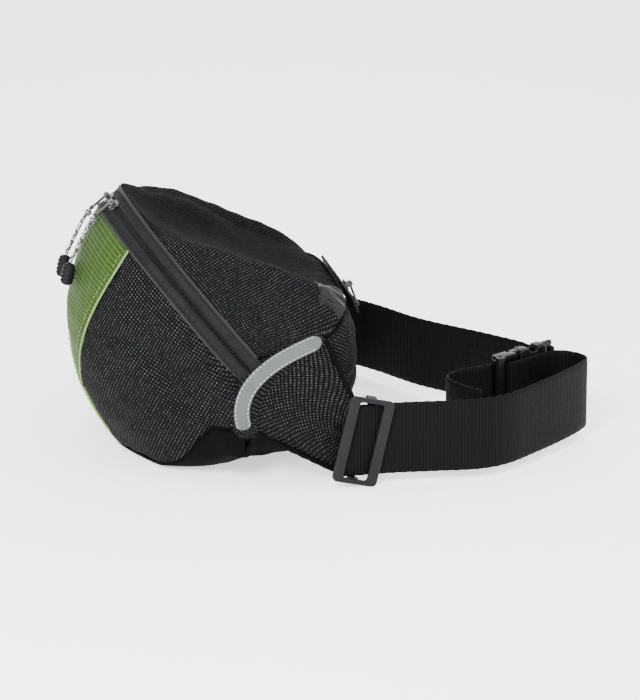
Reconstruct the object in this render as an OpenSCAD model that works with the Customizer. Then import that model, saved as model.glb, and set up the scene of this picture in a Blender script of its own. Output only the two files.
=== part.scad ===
// Throw rope waist bag: a fabric pack on a webbing belt, with the rope coiled inside.
// Front towards -X, belt loop towards +X, near wing at -Y. It stands on z = 0.

/* [Bag] */
// Radius of the mouth zipper's arc
zip_r = 101; // [95:1:106]
// Tilt of the mouth's plane from the horizontal, in degrees
zip_tilt = 51.3; // [48:0.1:54]
// Height of the mouth zipper at the front
zip_top = 166.5; // [164:0.5:168]
// Thickness of the fabric panels
panel_t = 1.6; // [1.2:0.1:2]
// How far the front swells out of its seams
front_swell = 28; // [20:1:30]

/* [Belt] */
// Width of the webbing
web_w = 48; // [46:1:50]
// Thickness of the webbing
web_t = 1.6; // [1.4:0.1:1.8]
// Height of the webbing's lower edge
belt_z = 6.5; // [6:0.5:8]

/* [Buckle and tri-glide] */
// Width of the tri-glide along the belt
glide_w = 30; // [28:1:32]
// Tilt of the tri-glide from upright, in degrees
glide_tilt = 13; // [0:1:14]
// Angle of the buckle from the X axis, in degrees
buckle_turn = 30; // [28:1:32]

/* [Rope] */
// Diameter of the rope
rope_d = 8; // [7:0.5:9]
// Turns of rope side by side
rope_rows = 4; // [3:1:4]
// Layers of rope
rope_layers = 10; // [8:1:11]

/* [Hidden] */
$fn = 48;

// Mouth zipper: a circle of radius zip_r in a plane tilted by zip_tilt, square to the XZ plane
zip_front_x = -61.5;
zip_end = 95;
tape_half = 9;
coil_half = 1.6;
zip_down = [cos(zip_tilt), 0, -sin(zip_tilt)];
zip_axis = [sin(zip_tilt), 0, cos(zip_tilt)];
zip_centre = [zip_front_x, 0, zip_top] + zip_r * zip_down;
mouth_share = 1 - cos(zip_end);

// Corners where the panels meet, at the middle of the bag and at the near wing
front_low = [-60, 0, 2];
back_low = [80, 0, 9];
back_high = [83, 0, 110];
wing_low = [8, -95, 38];
wing_mid = [14, -99, 72];
wing_high = [62, -85, 92];
tip_low = [60, -104.5, 11];
tip_high = [74, -110, 61];
edge_gap = 0.022;
wing_t = 3.5;
wing_from = 0.12;

// Belt route in plan, in round numbers: near wing, bend, return, round the buckle's bar, tail
belt_y = -112;
buckle_at = [184, -45];
function by_buckle(p) = [buckle_at[0] + p[0] * cos(buckle_turn) - p[1] * sin(buckle_turn),
    buckle_at[1] + p[0] * sin(buckle_turn) + p[1] * cos(buckle_turn)];
near_route = concat([[60, belt_y], [82, belt_y], [104, belt_y], [129, -114], [157, -116],
    [178, -110], [202, -92], [223, -74], [243, -54], [248, -43], [240, -31], [228, -28.5]],
    [for (p = [[20, -7.5], [12, -7], [5.5, -1.1], [-3, -1.1]]) by_buckle(p)],
    [[172, -51], [158, -55], [148, -66], [152, -83], [163, -98]]);
far_route = concat([for (p = [[50.9, -3], [52, -3.2], [54.3, -2.3], [55.2, 0], [54.3, 2.3], [52, 3.2],
    [49, 5], [45, 8]]) by_buckle(p)], [[213, -4], [193, 21], [160, 58], [138, 95], [124, 114], [106, 123],
    [86, 120], [60, -belt_y]]);
// Points per stretch of the smoothed routes, and the stretches where one piece ends
web_steps = 5;
bend_from = 5;
end_from = 8;
return_from = 10;
threaded_from = 12;
far_end_from = 10;
web_z = belt_z + web_w / 2;

function share(a) = (1 - cos(a)) / mouth_share;
function mix(p, q, s) = p * (1 - s) + q * s;
function seam(mid, end, a, px, pz) = [
    mid[0] + (end[0] - mid[0]) * pow(share(a), px),
    end[1] * sin(a) / sin(zip_end),
    mid[2] + (end[2] - mid[2]) * pow(share(a), pz)];
function zip_point(a, r, lift) = zip_centre - r * cos(a) * zip_down
    + [0, -r * sin(a), 0] + lift * zip_axis;
function side(a, p) = a < 0 ? [p[0], -p[1], p[2]] : p;
// The low seam stays near the floor round the front, then climbs to the wing
function eased(t) = let (c = min(1, max(0, t))) c * c * (3 - 2 * c);
function low_seam(a) = let (p = seam(front_low, wing_low, abs(a), 0.65, 1))
    side(a, [p[0], p[1], front_low[2] + (wing_low[2] - front_low[2])
        * eased((share(abs(a)) - 0.12) / 0.5)]);
function back_low_seam(a) = side(a, seam(back_low, wing_low + [6, 1, 0], abs(a), 1.2, 1.2));
function back_high_seam(a) = side(a, seam(back_high, wing_high, abs(a), 1.4, 1));

// The front stands out most in its middle, and least where the pulls swing past its sides
side_swell = 8;
side_hollow = 12;
function swell(a) = front_swell - (front_swell - side_swell) * share(a)
    - side_hollow * pow(sin(1.5 * a), 2);

// Panel surfaces: u runs from one seam to the next, a is the angle round the mouth
function front_at(u, a) = mix(zip_point(a, zip_r, -tape_half), low_seam(a), u)
    + swell(abs(a)) * 4 * u * (1 - u) * [-cos(a), -sin(a), 0];
function bottom_at(u, a) = let (p = mix(low_seam(a), back_low_seam(a), u),
        edge = pow(abs(2 * u - 1), 3),
        raised = min(1, pow(share(abs(a)) / 0.27, 0.7)) * min(1, 2 * u))
    [p[0], p[1], max(sole_t / 4, p[2] * (edge + (1 - edge) * raised) - 1)];
function lid_rise(a) = 9 * pow(sin(2 * a), 2) - 5 * pow(max(0, cos(a)), 6);
function lid_at(u, a) = mix(zip_point(a, zip_r, tape_half), back_high_seam(a), u)
    + [0, 0, lid_rise(a) * (1 - pow(2 * u - 1, 4))];
function back_at(u, a) = mix(back_high_seam(a), back_low_seam(a), u)
    + 4 * u * (1 - u) * (14 - 8 * share(abs(a))) * [1, 0, 0];
function root_at(s) = let (c = 2 * wing_mid - (wing_low + wing_high) / 2)
    (1 - s) * (1 - s) * wing_low + 2 * s * (1 - s) * c + s * s * wing_high;
function wing_at(u, s) = mix(root_at(s), mix(tip_low, tip_high, s), u);

// A closed plate from a grid of points g and the same grid moved inwards, h
module plate(g, h) {
    nu = len(g);
    nv = len(g[0]);
    n = nu * nv;
    pts = concat([for (r = g) for (p = r) p], [for (r = h) for (p = r) p]);
    function q(a, b, c, d) = [[a, b, c], [a, c, d]];
    top = [for (i = [0:nu - 2]) for (j = [0:nv - 2])
        for (f = q(i * nv + j, i * nv + j + 1, (i + 1) * nv + j + 1, (i + 1) * nv + j)) f];
    under = [for (f = top) [f[2] + n, f[1] + n, f[0] + n]];
    rim = concat([for (j = [0:nv - 1]) j], [for (i = [1:nu - 1]) i * nv + nv - 1],
        [for (j = [nv - 2:-1:0]) (nu - 1) * nv + j], [for (i = [nu - 2:-1:1]) i * nv]);
    walls = [for (k = [0:len(rim) - 1]) let (a = rim[k], b = rim[(k + 1) % len(rim)])
        for (f = q(b, a, a + n, b + n)) f];
    polyhedron(points = pts, faces = concat(top, under, walls), convexity = 6);
}

function unit(v) = v / norm(v);
step = 0.01;

// Grids for the plates, over u0..u1 and the angles or shares s0..s1. kind picks the surface.
function on(kind, u, s) = kind == "front" ? front_at(u, s) : kind == "bottom" ? bottom_at(u, s)
    : kind == "lid" ? lid_at(u, s) : kind == "back" ? back_at(u, s) : wing_at(u, s);
function normal_of(kind, u, s) = let (ds = kind == "wing" ? step : 1)
    unit(cross(on(kind, u + step, s) - on(kind, u - step, s),
        on(kind, u, s + ds) - on(kind, u, s - ds)));
function green_edge(u) = max(3, 31 - 38.5 * u);

// A panel of thickness t. inward is 1 or -1, whichever points into the bag on that surface.
module panel(kind, u0, u1, s0, s1, nu, ns, t, inward) {
    g = [for (i = [0:nu]) [for (j = [0:ns])
        let (u = u0 + (u1 - u0) * i / nu,
            lo = is_num(s0) ? s0 : s0[0] * green_edge(u) + s0[1],
            hi = is_num(s1) ? s1 : s1[0] * green_edge(u) + s1[1],
            s = lo + (hi - lo) * j / ns)
        [on(kind, u, s), on(kind, u, s) + inward * t * normal_of(kind, u, s)]]];
    outer = [for (r = g) [for (p = r) p[0]]];
    inner = [for (r = g) [for (p = r) p[1]]];
    if (inward > 0) plate(inner, outer);
    else plate(outer, inner);
}

green = "olivedrab";
mesh_black = [0.13, 0.13, 0.14];
plain_black = [0.08, 0.08, 0.09];
gloss_black = [0.05, 0.05, 0.06];

module front_panel() {
    color(green) panel("front", edge_gap, 1 - edge_gap, [-1, 0.5], [1, -0.5], 12, 10, panel_t, -1);
}

module side_panel() {
    color(mesh_black)
        panel("front", edge_gap, 1 - edge_gap, [1, 0.5], zip_end - 2, 12, 14, panel_t, -1);
}

// The bottom's flat middle is doubled by a sole, which is what the bag stands on
sole_t = 1.3;
sole_at = [6, 0];
sole_size = [66, 52];
sole_round = 12;
bottom_end = 88;
module bottom_panel() {
    color(plain_black) {
        panel("bottom", edge_gap, 1 - edge_gap, -bottom_end, bottom_end, 14, 24, panel_t, -1);
        translate(sole_at) linear_extrude(sole_t) offset(r = sole_round)
            square(sole_size - 2 * sole_round * [1, 1], center = true);
    }
}

module lid_panel() {
    color(mesh_black)
        panel("lid", edge_gap, 1 - edge_gap, 2 - zip_end, zip_end - 2, 12, 24, panel_t, 1);
}

module back_panel() {
    color(mesh_black)
        panel("back", edge_gap, 1 - edge_gap, 2 - zip_end, zip_end - 2, 8, 24, panel_t, 1);
}

module wing() {
    color(mesh_black) panel("wing", wing_from, 0.98, 0.02, 0.98, 6, 8, wing_t, -1);
}

// The strip over the seam between the bag's side and the wing
strip_w = 10;
strip_t = 0.9;
strip_to = 0.9;
strip_lift = [5.6, 2.8];
module reflective_strip() {
    n = 14;
    rows = [for (i = [0:n]) let (s = strip_to * i / n, p = root_at(s),
        along = unit(root_at(s + step) - root_at(s - step)),
        out = unit([-0.35, -1, 0.15]),
        across = unit(cross(along, out)),
        low = p + mix(strip_lift[0], strip_lift[1], i / n) * out)
        [low - across * strip_w / 2, low + across * strip_w / 2, out]];
    inner = [for (r = rows) [r[0], r[1]]];
    outer = [for (r = rows) [r[0] + strip_t * r[2], r[1] + strip_t * r[2]]];
    color("silver") plate(inner, outer);
}

// Everything round the mouth turns about the zipper's axis
module at_mouth(a) {
    translate(zip_centre) rotate([0, zip_tilt, 0]) rotate([0, 0, 180 + a]) children();
}

tape_t = 1.2;
module zipper_tape(low, high) {
    color([0.18, 0.18, 0.19]) at_mouth(-zip_end) rotate_extrude(angle = 2 * zip_end, $fn = 96)
        translate([zip_r - tape_t, low]) square([tape_t, high - low]);
}
module zipper_tape_lower() { zipper_tape(-tape_half, -coil_half - 0.2); }
module zipper_tape_upper() { zipper_tape(coil_half + 0.2, tape_half); }

module zipper_coil() {
    color(plain_black) at_mouth(-zip_end) rotate_extrude(angle = 2 * zip_end, $fn = 96)
        for (s = [-1, 1]) translate([zip_r - 1, s * 0.7]) circle(r = 0.75, $fn = 24);
}

// A slider rides over the coil. Its pull tab hangs from a pin that lies along the zipper.
slider_angle = 5;
slider_l = 9;
slider_w = 7;
pin_r = 0.8;
pin_lift = 4.4;
post_t = 1.2;
tab_w = 3;
module slider_body() {
    color(gloss_black) {
        translate([0.6, -slider_l / 2, -slider_w / 2]) cube([1.8, slider_l, slider_w]);
        for (s = [-1, 1]) translate([2, s * (tab_w / 2 + 0.4 + post_t / 2) - post_t / 2, -1.2])
            cube([pin_lift - 1, post_t, 2.4]);
        translate([pin_lift, -tab_w / 2 - 1, 0]) rotate([-90, 0, 0])
            cylinder(r = pin_r, h = tab_w + 2);
    }
}

// The tab's eye turns on the pin, and the tab lies down the front of the bag
tab_l = 15;
tab_t = 1.4;
module tab_body(length) {
    color(gloss_black) rotate([-90, 0, 0]) difference() {
        union() {
            cylinder(r = 2, h = tab_w, center = true);
            translate([-tab_t / 2, 1.2, -tab_w / 2]) cube([tab_t, length - 1.2, tab_w]);
        }
        cylinder(r = pin_r + 0.06, h = tab_w + 2, center = true);
    }
}

module mouth_slider(a) { at_mouth(a) translate([zip_r, 0, 0]) slider_body(); }
module mouth_tab(a) { at_mouth(a) translate([zip_r + pin_lift, 0, 0]) tab_body(tab_l); }

// The pull cord runs from the tab's end to a moulded grip
cord_d = 2.6;
cord_y = 9.2;
cord_route = [[-76.6, 159.2], [-79, 155.5], [-81.5, 151], [-84, 146], [-86.5, 141], [-89, 136],
    [-91.5, 131]];
function tube_rings(path, r, sides) = [for (i = [0:len(path) - 1])
    let (n = len(path) - 1,
        t = unit(path[min(i + 1, n)] - path[max(i - 1, 0)]),
        w = unit(cross(t, [0, 1, 0])),
        v = cross(t, w))
    [for (k = [0:sides - 1]) path[i] + r * (cos(360 * k / sides) * w
        + sin(360 * k / sides) * v)]];
module tube(path, r, sides) {
    rings = tube_rings(path, r, sides);
    n = len(rings);
    pts = [for (ring = rings) for (p = ring) p];
    polyhedron(points = pts, convexity = 4, faces = concat(
        [[for (k = [0:sides - 1]) k]],
        [[for (k = [sides - 1:-1:0]) (n - 1) * sides + k]],
        [for (i = [0:n - 2]) for (k = [0:sides - 1]) let (m = (k + 1) % sides)
            [i * sides + k, (i + 1) * sides + k, (i + 1) * sides + m, i * sides + m]]));
}
module pull_cord(y) {
    color("dimgray") tube([for (p = cord_route) [p[0], y, p[1]]], cord_d / 2, 8);
}

grip_r = 4.6;
grip_l = 15;
grip_lean = 12;
module pull_grip(y) {
    color([0.2, 0.2, 0.21]) translate([cord_route[6][0], y, cord_route[6][1]])
        rotate([0, grip_lean, 0]) translate([0, 0, -grip_l - 0.8]) rotate_extrude() difference() {
            union() {
                square([grip_r - 1.5, grip_l]);
                translate([0, 1.5]) square([grip_r, grip_l - 3]);
                for (z = [1.5, grip_l - 1.5]) translate([grip_r - 1.5, z]) circle(r = 1.5);
            }
            for (z = [4.5, 7.5, 10.5]) translate([grip_r + 0.6, z]) circle(r = 1);
        }
}

// Flat zipper of the back pocket, just under the top edge of the back
pocket_at = [90.4, 0, 101.5];
pocket_l = 96;
pocket_w = 12;
pocket_t = 1.4;
pocket_lean = -20;
pocket_start = -6;
module at_pocket(y) { translate(pocket_at + [0, y, 0]) rotate([0, pocket_lean, 0]) children(); }
module pocket_zipper() {
    color([0.18, 0.18, 0.19]) at_pocket(0) {
        translate([-pocket_t / 2, -pocket_l / 2, -pocket_w / 2])
            cube([pocket_t, pocket_l, pocket_w]);
        translate([pocket_t / 2, pocket_l / 2, 0]) rotate([90, 0, 0])
            cylinder(r = 0.7, h = pocket_l);
    }
}
module pocket_slider() { at_pocket(pocket_start) translate([1.1, 0, 0]) slider_body(); }
pocket_tab_l = 17;
module pocket_pull() {
    at_pocket(pocket_start) translate([1.1 + pin_lift, 0, 0]) tab_body(pocket_tab_l);
}

// The rope as a coil of touching turns round a closed-cell foam core
rope_in = 24;
rope_low = 14;
rope_pitch = 0.94;
module rope() {
    color("gold") for (i = [0:rope_layers - 1]) for (j = [0:rope_rows - 1])
        translate([0, 0, rope_low + rope_d * (0.5 + rope_pitch * i)])
            rotate_extrude($fn = 64)
                translate([rope_in + rope_d * (0.5 + rope_pitch * j), 0]) circle(r = rope_d / 2);
}
module float_core() {
    color("orange") translate([0, 0, rope_low]) cylinder(r = rope_in - 1, h = 74);
}

// Webbing: a smooth ribbon on its edge along part of a route
function spline(p0, p1, p2, p3, t) = 0.5 * (2 * p1 + (p2 - p0) * t
    + (2 * p0 - 5 * p1 + 4 * p2 - p3) * t * t + (3 * p1 - 3 * p2 + p3 - p0) * t * t * t);
function smooth(r) = let (n = len(r) - 1) concat([for (i = [0:n - 1]) for (k = [0:web_steps - 1])
    spline(r[max(i - 1, 0)], r[i], r[i + 1], r[min(i + 2, n)], k / web_steps)], [r[n]]);
module ribbon(route, from, to) {
    s = smooth(route);
    n = len(s) - 1;
    function off(i, d) = let (t = s[min(i + 1, n)] - s[max(i - 1, 0)], l = norm(t))
        s[i] + d * [-t[1], t[0]] / l;
    a = from * web_steps;
    b = to * web_steps;
    color(plain_black) translate([0, 0, belt_z]) linear_extrude(web_w)
        polygon(concat([for (i = [a:b]) off(i, web_t / 2)],
            [for (i = [b:-1:a]) off(i, -web_t / 2)]));
}
module belt_near() { ribbon(near_route, 0, bend_from); }
module belt_bend() { ribbon(near_route, bend_from, end_from); }
module belt_end() { ribbon(near_route, end_from, return_from); }
module belt_return() { ribbon(near_route, return_from, threaded_from); }
module belt_threaded() { ribbon(near_route, threaded_from, len(near_route) - 1); }
module belt_far_end() { ribbon(far_route, 0, far_end_from); }
module belt_far() { ribbon(far_route, far_end_from, len(far_route) - 1); }

// Tri-glide: two outer bars in front of the webbing, and a middle bar behind it
glide_x = 81;
glide_gap = 0.5;
glide_wall = 3.3;
bar_w = 7;
bar_t = 3.6;
glide_h = web_w + 4 + 2 * glide_wall;
module triglide() {
    front = web_t / 2 + glide_gap;
    color(gloss_black) translate([glide_x, belt_y, web_z]) rotate([0, glide_tilt, 0])
        rotate([90, 0, 0]) {
            difference() {
                translate([0, 0, front]) linear_extrude(bar_t) offset(r = 3)
                    square([glide_w - 6, glide_h - 6], center = true);
                translate([0, 0, front + bar_t / 2])
                    cube([glide_w - 2 * bar_w, web_w + 4, bar_t + 2], center = true);
            }
            for (s = [-1, 1]) translate([-bar_w / 2, s * (glide_h - glide_wall) / 2
                - glide_wall / 2, -front - 3]) cube([bar_w, glide_wall, 2 * front + 3.2]);
            translate([0, glide_h / 2, -front - 1.6]) rotate([90, 0, 0])
                cylinder(r = 1.6, h = glide_h);
        }
}

// Side-release buckle, in its own axes: x from the ladder bar to the fixed bar, z upright
buckle_h = 57;
slot_h = web_w / 2 + 1.2;
mouth_x = 22.3;
shell_end = 46;
shell_y = 4.5;
cavity_y = 3.1;
cavity_z = 24.6;
fixed_bar_x = 52;
module at_buckle() {
    translate([buckle_at[0], buckle_at[1], web_z]) rotate([0, 0, buckle_turn]) children();
}
module block(x0, x1, y0, y1, z0, z1) {
    translate([x0, y0, z0]) cube([x1 - x0, y1 - y0, z1 - z0]);
}
module buckle_female() {
    color(gloss_black) at_buckle() {
        difference() {
            block(mouth_x, shell_end, -shell_y, shell_y, -buckle_h / 2, buckle_h / 2);
            block(mouth_x - 1, shell_end - 2, -cavity_y, cavity_y, -cavity_z, cavity_z);
            block(30, 38, -cavity_y, cavity_y, -buckle_h / 2 - 1, buckle_h / 2 + 1);
        }
        for (s = [-1, 1]) translate([0, 0, s * (buckle_h / 2 + slot_h) / 2])
            block(shell_end - 0.5, fixed_bar_x + 1.5, -2, 2, -(buckle_h / 2 - slot_h) / 2,
                (buckle_h / 2 - slot_h) / 2);
        translate([fixed_bar_x, 0, -buckle_h / 2]) cylinder(r = 1.8, h = buckle_h);
    }
}
// A prong bends about a round root behind the mouth
prong_z = 16;
prong_x = 24.3;
prong_y = 2.4;
module buckle_male() {
    color(gloss_black) at_buckle() {
        translate([2, -5.4, -buckle_h / 2]) cylinder(r = 3.2, h = buckle_h);
        for (s = [-1, 1]) translate([0, 0, s * (buckle_h / 2 + slot_h) / 2])
            block(0.5, 17, -6.2, 2.6, -(buckle_h / 2 - slot_h) / 2, (buckle_h / 2 - slot_h) / 2);
        translate([14, 0.6, -buckle_h / 2]) cylinder(r = 2, h = buckle_h);
        block(16.5, mouth_x - 0.4, -2.6, 2.6, -buckle_h / 2, buckle_h / 2);
        block(mouth_x - 1, 41, -2.4, 2.4, -8, 8);
    }
}
module buckle_prong(s) {
    color(gloss_black) at_buckle() mirror([0, 0, s < 0 ? 1 : 0]) {
        translate([prong_x, prong_y, prong_z]) rotate([90, 0, 0]) cylinder(r = 2, h = 2 * prong_y);
        block(prong_x, 34, -prong_y, prong_y, prong_z - 2, prong_z + 2);
        block(31, 36.5, -prong_y, prong_y, prong_z - 2, cavity_z - 0.3);
    }
}

module far_side() { mirror([0, 1, 0]) children(); }

front_panel();
side_panel();  // side_panel_near
far_side() side_panel();  // side_panel_far
bottom_panel();
lid_panel();
back_panel();
wing();  // wing_near
far_side() wing();  // wing_far
reflective_strip();  // reflective_strip_near
far_side() reflective_strip();  // reflective_strip_far
zipper_tape_lower();
zipper_tape_upper();
zipper_coil();
mouth_slider(slider_angle);  // zipper_slider_near
mouth_slider(-slider_angle);  // zipper_slider_far
mouth_tab(slider_angle);  // pull_tab_near
mouth_tab(-slider_angle);  // pull_tab_far
pull_cord(-cord_y);  // pull_cord_near
pull_cord(cord_y);  // pull_cord_far
pull_grip(-cord_y);  // pull_grip_near
pull_grip(cord_y);  // pull_grip_far
pocket_zipper();
pocket_slider();
pocket_pull();
rope();
float_core();
belt_near();
belt_bend();
belt_end();
belt_return();
belt_threaded();
belt_far();
belt_far_end();
triglide();
buckle_female();
buckle_male();
buckle_prong(1);  // buckle_prong_upper
buckle_prong(-1);  // buckle_prong_lower
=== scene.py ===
import math
import bpy
import numpy as np
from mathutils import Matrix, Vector


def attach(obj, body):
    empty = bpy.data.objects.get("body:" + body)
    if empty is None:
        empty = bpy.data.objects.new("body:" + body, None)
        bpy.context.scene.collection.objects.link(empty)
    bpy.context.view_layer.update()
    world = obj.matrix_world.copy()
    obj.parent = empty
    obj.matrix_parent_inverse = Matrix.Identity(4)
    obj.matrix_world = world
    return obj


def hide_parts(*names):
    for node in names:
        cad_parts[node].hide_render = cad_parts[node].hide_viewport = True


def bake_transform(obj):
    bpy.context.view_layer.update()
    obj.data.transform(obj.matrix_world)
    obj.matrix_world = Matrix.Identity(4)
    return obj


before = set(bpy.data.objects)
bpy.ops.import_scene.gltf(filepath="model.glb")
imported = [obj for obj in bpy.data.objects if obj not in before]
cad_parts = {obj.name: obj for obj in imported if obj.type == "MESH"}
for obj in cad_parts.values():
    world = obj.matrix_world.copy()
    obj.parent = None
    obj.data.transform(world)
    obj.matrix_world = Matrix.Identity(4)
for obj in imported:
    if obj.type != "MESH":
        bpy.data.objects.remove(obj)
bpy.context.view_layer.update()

MM = 0.001
TURN = 6.2832                   # a full turn, in radians


# ---------- small maths ----------
def unit(v):
    v = np.asarray(v, float)
    return v / np.maximum(np.linalg.norm(v, axis=-1, keepdims=True), 1e-12)


def cosd(a):
    return np.cos(np.radians(a))


def sind(a):
    return np.sin(np.radians(a))


def bell(x, middle, width):
    return np.exp(-((x - middle) / width) ** 2)


def spline(route, per):
    """A Catmull-Rom curve through the route's points, with per steps between two of them."""
    r = np.asarray(route, float)
    n = len(r) - 1
    out = []
    for i in range(n):
        p0, p1, p2, p3 = r[max(i - 1, 0)], r[i], r[i + 1], r[min(i + 2, n)]
        for t in np.arange(per) / per:
            out.append(0.5 * (2 * p1 + (p2 - p0) * t + (2 * p0 - 5 * p1 + 4 * p2 - p3) * t * t
                              + (3 * p1 - 3 * p2 + p3 - p0) * t ** 3))
    return np.array(out + [r[n]])


def arc_mm(p, axis=0):
    """Distance along a line, or along one way of a grid, in mm."""
    d = np.linalg.norm(np.diff(p, axis=axis), axis=-1)
    return np.concatenate([0 * np.take(d, [0], axis=axis), np.cumsum(d, axis=axis)], axis=axis)


def respaced(line, gap):
    """The line with points every gap along it."""
    at = arc_mm(line)
    n = max(2, int(round(at[-1] / gap)) + 1)
    to = np.linspace(0, at[-1], n)
    return np.stack([np.interp(to, at, line[:, k]) for k in range(line.shape[1])], axis=1), to


# ---------- camera: 3 m away, turned 12 degrees to the front and 18 degrees down ----------
CAMERA_TURN, CAMERA_DOWN, CAMERA_FAR = 12.0, 18.0, 3000.0
SCALE_AT_ORIGIN = 1.5           # picture units per mm, in a picture 700 high
ORIGIN_LEFT, ORIGIN_LOW = 112.7, 87.6   # of the picture's middle
right = np.array([cosd(CAMERA_TURN), -sind(CAMERA_TURN), 0])
ahead = np.array([sind(CAMERA_TURN) * cosd(CAMERA_DOWN), cosd(CAMERA_TURN) * cosd(CAMERA_DOWN),
                  -sind(CAMERA_DOWN)])
up = np.cross(right, ahead)


def make_camera():
    data = bpy.data.cameras.new("camera")
    cam = bpy.data.objects.new("camera", data)
    bpy.context.scene.collection.objects.link(cam)
    place = (ORIGIN_LEFT * right + ORIGIN_LOW * up) / SCALE_AT_ORIGIN - CAMERA_FAR * ahead
    cam.location = Vector(place * MM)
    cam.rotation_euler = Vector(ahead).to_track_quat("-Z", "Y").to_euler()
    data.sensor_width = 36
    data.lens = SCALE_AT_ORIGIN * CAMERA_FAR * 36 / 700
    data.clip_end = 20
    bpy.context.scene.camera = cam


make_camera()


# ---------- meshes ----------
def lay_weave(mesh, uv):
    """Gives a mesh its weave coordinates, a pair in cm for each vertex."""
    loops = np.zeros(len(mesh.loops), int)
    mesh.loops.foreach_get("vertex_index", loops)
    mesh.uv_layers[0].data.foreach_set("uv", np.asarray(uv, float).reshape(-1, 2)[loops].ravel())


def link(name, verts, faces, uv=None):
    """A mesh object from points in mm. uv holds a pair for each vertex, in cm."""
    mesh = bpy.data.meshes.new(name)
    verts = np.asarray(verts, float).reshape(-1, 3) * MM
    mesh.from_pydata(verts.tolist(), [], faces)
    if uv is not None:
        mesh.uv_layers.new(name="weave")
        lay_weave(mesh, uv)
    mesh.update()
    mesh.polygons.foreach_set("use_smooth", [True] * len(mesh.polygons))
    obj = bpy.data.objects.new(name, mesh)
    bpy.context.scene.collection.objects.link(obj)
    return obj


def quads(nu, nv, wrap_v=False, start=0, flip=False):
    i, j = np.meshgrid(np.arange(nu - 1), np.arange(nv if wrap_v else nv - 1), indexing="ij")
    k = (j + 1) % nv
    f = np.stack([i * nv + j, i * nv + k, (i + 1) * nv + k, (i + 1) * nv + j], -1) + start
    f = f.reshape(-1, 4)
    return (f[:, ::-1] if flip else f).tolist()


def grid_normals(p):
    return unit(np.cross(np.gradient(p, axis=0), np.gradient(p, axis=1)))


def grid_uv(p):
    """Lengths along a grid's two ways from its middle line, in cm, for the weave."""
    u, v = arc_mm(p, 0), arc_mm(p, 1)
    v = v - v[:, p.shape[1] // 2:p.shape[1] // 2 + 1]
    return np.stack([u, v], -1) / 10


def shell(name, outer, inner):
    """A closed plate between two grids of points."""
    nu, nv = outer.shape[:2]
    n = nu * nv
    faces = quads(nu, nv) + quads(nu, nv, start=n, flip=True)
    rim = ([j for j in range(nv)] + [i * nv + nv - 1 for i in range(1, nu)]
           + [(nu - 1) * nv + j for j in range(nv - 2, -1, -1)] + [i * nv for i in range(nu - 2, 0, -1)])
    faces += [[b, a, a + n, b + n] for a, b in zip(rim, rim[1:] + rim[:1])]
    uv = grid_uv(outer)
    return link(name, np.concatenate([outer.reshape(-1, 3), inner.reshape(-1, 3)]), faces,
                np.concatenate([uv.reshape(-1, 2)] * 2))


TUBE_REF = np.array([0.12, 0.3, 0.95])     # no tube runs along this


def tube(name, line, r, sides=10, closed=False, squash=1.0):
    """A round tube of radius r, or of one radius at each point, along a line."""
    line = np.asarray(line, float)
    if closed:
        t = unit(np.roll(line, -1, 0) - np.roll(line, 1, 0))
    else:
        t = unit(np.gradient(line, axis=0))
    w = unit(np.cross(t, TUBE_REF))
    v = np.cross(t, w)
    a = np.arange(sides) * 2 * np.pi / sides
    r = np.broadcast_to(r, (len(line),))[:, None, None]
    ring = line[:, None] + r * (np.cos(a)[None, :, None] * w[:, None]
                                + squash * np.sin(a)[None, :, None] * v[:, None])
    at = arc_mm(line) / 10
    uv = np.stack(np.broadcast_arrays(at[:, None], a[None] / TURN), -1)
    n = len(line)
    faces = quads(n, sides, wrap_v=True, flip=True)
    if closed:
        faces += [[(n - 1) * sides + (k + 1) % sides, (n - 1) * sides + k, k, (k + 1) % sides]
                  for k in range(sides)]
    else:
        faces += [list(range(sides)), [(n - 1) * sides + k for k in range(sides - 1, -1, -1)]]
    return link(name, ring, faces, uv)


def joined(name, objs):
    """One object from several."""
    verts, faces, uvs, start = [], [], [], 0
    for o in objs:
        m = o.data
        co = np.zeros(len(m.vertices) * 3)
        m.vertices.foreach_get("co", co)
        verts.append(co.reshape(-1, 3) / MM)
        faces += [[v + start for v in p.vertices] for p in m.polygons]
        uv = np.zeros((len(m.vertices), 2))
        if m.uv_layers:
            loops = np.zeros(len(m.loops), int)
            m.loops.foreach_get("vertex_index", loops)
            flat = np.zeros(len(m.loops) * 2)
            m.uv_layers[0].data.foreach_get("uv", flat)
            uv[loops] = flat.reshape(-1, 2)
        uvs.append(uv)
        start += len(m.vertices)
        bpy.data.objects.remove(o)
    return link(name, np.concatenate(verts), faces, np.concatenate(uvs))


def stitches(name, line, normal, length=2.4, gap=1.5, r=0.28):
    """A row of short threads along a line on a surface."""
    pts, at = respaced(np.hstack([line, normal]), 0.4)
    end = at[-1]
    verts, faces, n = [], [], 0
    sides = 6
    a = np.arange(sides) * 2 * np.pi / sides
    for s in np.arange(1, end - length - 1, length + gap):
        t = np.linspace(0, 1, 6)
        c = np.stack([np.interp(s + t * length, at, pts[:, k]) for k in range(6)], 1)
        p, nn = c[:, :3], unit(c[:, 3:])
        d = unit(np.gradient(p, axis=0))
        w = np.cross(d, nn)
        arch = np.sqrt(np.maximum(0.05, 1 - (2 * t - 1) ** 2))
        middle = p + nn * 0.2 * arch[:, None]
        round_it = np.cos(a)[None, :, None] * w[:, None] + np.sin(a)[None, :, None] * nn[:, None]
        ring = middle[:, None] + (r * (0.35 + 0.65 * arch))[:, None, None] * round_it
        verts.append(ring.reshape(-1, 3))
        faces += quads(6, sides, wrap_v=True, start=n, flip=True)
        faces += [[n + k for k in range(sides)], [n + 5 * sides + k for k in range(sides - 1, -1, -1)]]
        n += 6 * sides
    return link(name, np.concatenate(verts), faces)


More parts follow.
